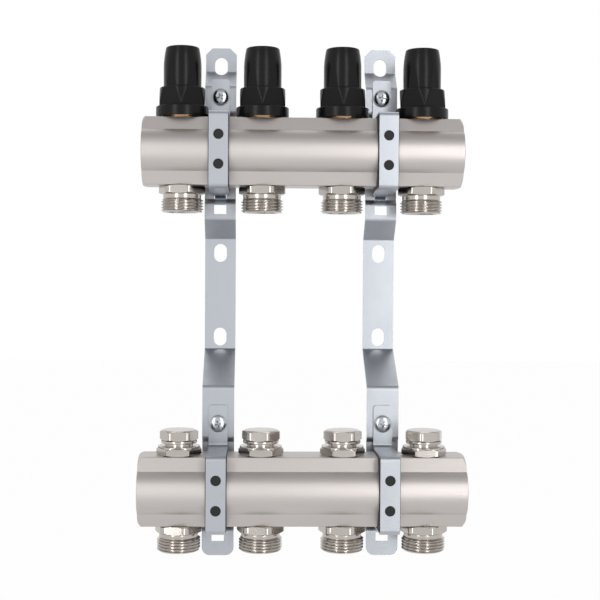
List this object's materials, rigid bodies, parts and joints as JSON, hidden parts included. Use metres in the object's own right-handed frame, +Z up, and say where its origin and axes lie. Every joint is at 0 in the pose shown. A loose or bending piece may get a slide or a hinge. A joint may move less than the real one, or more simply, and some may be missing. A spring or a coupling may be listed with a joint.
{
  "type": "distribution manifold",
  "caption": "Heating distribution manifold: a supply bar with hand-capped valves over a return bar with regulating valves, threaded outlets below each, strapped to folded wall brackets.",
  "frame": {"origin": "on the wall plane behind the brackets, midway between the two brackets and midway between the two bars' axes", "axes": "+X along the bars to the right seen from the front, +Y into the wall, +Z up, with the supply bar above and the return bar below"},
  "size_m": [0.198, 0.0785, 0.324],
  "materials": {
    "nickel_plate": "bright nickel plate",
    "zinc_steel": "bright zinc plate",
    "black_plastic": "satin moulded",
    "bare_brass": "turned",
    "black_rubber": "matte",
    "stainless": "drawn"
  },
  "bodies": {
    "frame": {"supply_rail": "nickel_plate", "return_rail": "nickel_plate", "left_bracket": "zinc_steel", "right_bracket": "zinc_steel", "left_upper_strap": "zinc_steel", "left_lower_strap": "zinc_steel", "right_upper_strap": "zinc_steel", "right_lower_strap": "zinc_steel", "clamp_screws": "zinc_steel", "strap_liners": "black_rubber", "port_gaskets": "black_rubber", "gland_nuts": "bare_brass", "supply_insert_1": "bare_brass", "valve_spring_1": "stainless", "supply_outlet_1": "nickel_plate", "return_outlet_1": "nickel_plate", "return_body_1": "nickel_plate", "supply_insert_2": "bare_brass", "valve_spring_2": "stainless", "supply_outlet_2": "nickel_plate", "return_outlet_2": "nickel_plate", "return_body_2": "nickel_plate", "supply_insert_3": "bare_brass", "valve_spring_3": "stainless", "supply_outlet_3": "nickel_plate", "return_outlet_3": "nickel_plate", "return_body_3": "nickel_plate", "supply_insert_4": "bare_brass", "valve_spring_4": "stainless", "supply_outlet_4": "nickel_plate", "return_outlet_4": "nickel_plate", "return_body_4": "nickel_plate"},
    "pin_1": {"valve_pin_1": "stainless", "disc_seal_1": "black_rubber"},
    "hand_cap_1": {"hand_cap_1": "black_plastic"},
    "cap_lift_1": {"cap_seal_1": "black_rubber"},
    "return_cap_1": {"return_cap_1": "nickel_plate"},
    "spindle_lift_1": {"spindle_oring_1": "black_rubber"},
    "spindle_1": {"spindle_1": "bare_brass"},
    "pin_2": {"valve_pin_2": "stainless", "disc_seal_2": "black_rubber"},
    "hand_cap_2": {"hand_cap_2": "black_plastic"},
    "cap_lift_2": {"cap_seal_2": "black_rubber"},
    "return_cap_2": {"return_cap_2": "nickel_plate"},
    "spindle_lift_2": {"spindle_oring_2": "black_rubber"},
    "spindle_2": {"spindle_2": "bare_brass"},
    "pin_3": {"valve_pin_3": "stainless", "disc_seal_3": "black_rubber"},
    "hand_cap_3": {"hand_cap_3": "black_plastic"},
    "cap_lift_3": {"cap_seal_3": "black_rubber"},
    "return_cap_3": {"return_cap_3": "nickel_plate"},
    "spindle_lift_3": {"spindle_oring_3": "black_rubber"},
    "spindle_3": {"spindle_3": "bare_brass"},
    "pin_4": {"valve_pin_4": "stainless", "disc_seal_4": "black_rubber"},
    "hand_cap_4": {"hand_cap_4": "black_plastic"},
    "cap_lift_4": {"cap_seal_4": "black_rubber"},
    "return_cap_4": {"return_cap_4": "nickel_plate"},
    "spindle_lift_4": {"spindle_oring_4": "black_rubber"},
    "spindle_4": {"spindle_4": "bare_brass"}
  },
  "joints": [
    {"name": "pin_slide_1", "type": "slide", "parent": "frame", "child": "pin_1", "axis": [0, 0, 1], "range_m": [0, 0.003], "deforming": ["valve_spring_1"]},
    {"name": "hand_cap_turn_1", "type": "hinge", "parent": "pin_1", "child": "hand_cap_1", "pos_m": [-0.075, -0.034, 0.1275], "axis": [0, 0, 1], "range_deg": [0, 720]},
    {"name": "return_cap_lift_1", "type": "slide", "parent": "frame", "child": "cap_lift_1", "axis": [0, 0, 1], "range_m": [0, 0.0045]},
    {"name": "return_cap_turn_1", "type": "hinge", "parent": "cap_lift_1", "child": "return_cap_1", "pos_m": [-0.075, -0.054, -0.0715], "axis": [0, 0, 1], "range_deg": [0, 1080]},
    {"name": "spindle_lift_1", "type": "slide", "parent": "frame", "child": "spindle_lift_1", "axis": [0, 0, 1], "range_m": [0, 0.003]},
    {"name": "spindle_turn_1", "type": "hinge", "parent": "spindle_lift_1", "child": "spindle_1", "pos_m": [-0.075, -0.054, -0.0835], "axis": [0, 0, 1], "range_deg": [0, 1080]},
    {"name": "pin_slide_2", "type": "slide", "parent": "frame", "child": "pin_2", "axis": [0, 0, 1], "range_m": [0, 0.003], "deforming": ["valve_spring_2"]},
    {"name": "hand_cap_turn_2", "type": "hinge", "parent": "pin_2", "child": "hand_cap_2", "pos_m": [-0.025, -0.034, 0.1275], "axis": [0, 0, 1], "range_deg": [0, 720]},
    {"name": "return_cap_lift_2", "type": "slide", "parent": "frame", "child": "cap_lift_2", "axis": [0, 0, 1], "range_m": [0, 0.0045]},
    {"name": "return_cap_turn_2", "type": "hinge", "parent": "cap_lift_2", "child": "return_cap_2", "pos_m": [-0.025, -0.054, -0.0715], "axis": [0, 0, 1], "range_deg": [0, 1080]},
    {"name": "spindle_lift_2", "type": "slide", "parent": "frame", "child": "spindle_lift_2", "axis": [0, 0, 1], "range_m": [0, 0.003]},
    {"name": "spindle_turn_2", "type": "hinge", "parent": "spindle_lift_2", "child": "spindle_2", "pos_m": [-0.025, -0.054, -0.0835], "axis": [0, 0, 1], "range_deg": [0, 1080]},
    {"name": "pin_slide_3", "type": "slide", "parent": "frame", "child": "pin_3", "axis": [0, 0, 1], "range_m": [0, 0.003], "deforming": ["valve_spring_3"]},
    {"name": "hand_cap_turn_3", "type": "hinge", "parent": "pin_3", "child": "hand_cap_3", "pos_m": [0.025, -0.034, 0.1275], "axis": [0, 0, 1], "range_deg": [0, 720]},
    {"name": "return_cap_lift_3", "type": "slide", "parent": "frame", "child": "cap_lift_3", "axis": [0, 0, 1], "range_m": [0, 0.0045]},
    {"name": "return_cap_turn_3", "type": "hinge", "parent": "cap_lift_3", "child": "return_cap_3", "pos_m": [0.025, -0.054, -0.0715], "axis": [0, 0, 1], "range_deg": [0, 1080]},
    {"name": "spindle_lift_3", "type": "slide", "parent": "frame", "child": "spindle_lift_3", "axis": [0, 0, 1], "range_m": [0, 0.003]},
    {"name": "spindle_turn_3", "type": "hinge", "parent": "spindle_lift_3", "child": "spindle_3", "pos_m": [0.025, -0.054, -0.0835], "axis": [0, 0, 1], "range_deg": [0, 1080]},
    {"name": "pin_slide_4", "type": "slide", "parent": "frame", "child": "pin_4", "axis": [0, 0, 1], "range_m": [0, 0.003], "deforming": ["valve_spring_4"]},
    {"name": "hand_cap_turn_4", "type": "hinge", "parent": "pin_4", "child": "hand_cap_4", "pos_m": [0.075, -0.034, 0.1275], "axis": [0, 0, 1], "range_deg": [0, 720]},
    {"name": "return_cap_lift_4", "type": "slide", "parent": "frame", "child": "cap_lift_4", "axis": [0, 0, 1], "range_m": [0, 0.0045]},
    {"name": "return_cap_turn_4", "type": "hinge", "parent": "cap_lift_4", "child": "return_cap_4", "pos_m": [0.075, -0.054, -0.0715], "axis": [0, 0, 1], "range_deg": [0, 1080]},
    {"name": "spindle_lift_4", "type": "slide", "parent": "frame", "child": "spindle_lift_4", "axis": [0, 0, 1], "range_m": [0, 0.003]},
    {"name": "spindle_turn_4", "type": "hinge", "parent": "spindle_lift_4", "child": "spindle_4", "pos_m": [0.075, -0.054, -0.0835], "axis": [0, 0, 1], "range_deg": [0, 1080]}
  ],
  "couplings": [
    {"joint": "pin_slide_1", "follows": "hand_cap_turn_1", "m_per_rad": 0.00023873},
    {"joint": "return_cap_lift_1", "follows": "return_cap_turn_1", "m_per_rad": 0.00023873},
    {"joint": "spindle_lift_1", "follows": "spindle_turn_1", "m_per_rad": 0.00015915},
    {"joint": "pin_slide_2", "follows": "hand_cap_turn_2", "m_per_rad": 0.00023873},
    {"joint": "return_cap_lift_2", "follows": "return_cap_turn_2", "m_per_rad": 0.00023873},
    {"joint": "spindle_lift_2", "follows": "spindle_turn_2", "m_per_rad": 0.00015915},
    {"joint": "pin_slide_3", "follows": "hand_cap_turn_3", "m_per_rad": 0.00023873},
    {"joint": "return_cap_lift_3", "follows": "return_cap_turn_3", "m_per_rad": 0.00023873},
    {"joint": "spindle_lift_3", "follows": "spindle_turn_3", "m_per_rad": 0.00015915},
    {"joint": "pin_slide_4", "follows": "hand_cap_turn_4", "m_per_rad": 0.00023873},
    {"joint": "return_cap_lift_4", "follows": "return_cap_turn_4", "m_per_rad": 0.00023873},
    {"joint": "spindle_lift_4", "follows": "spindle_turn_4", "m_per_rad": 0.00015915}
  ]
}
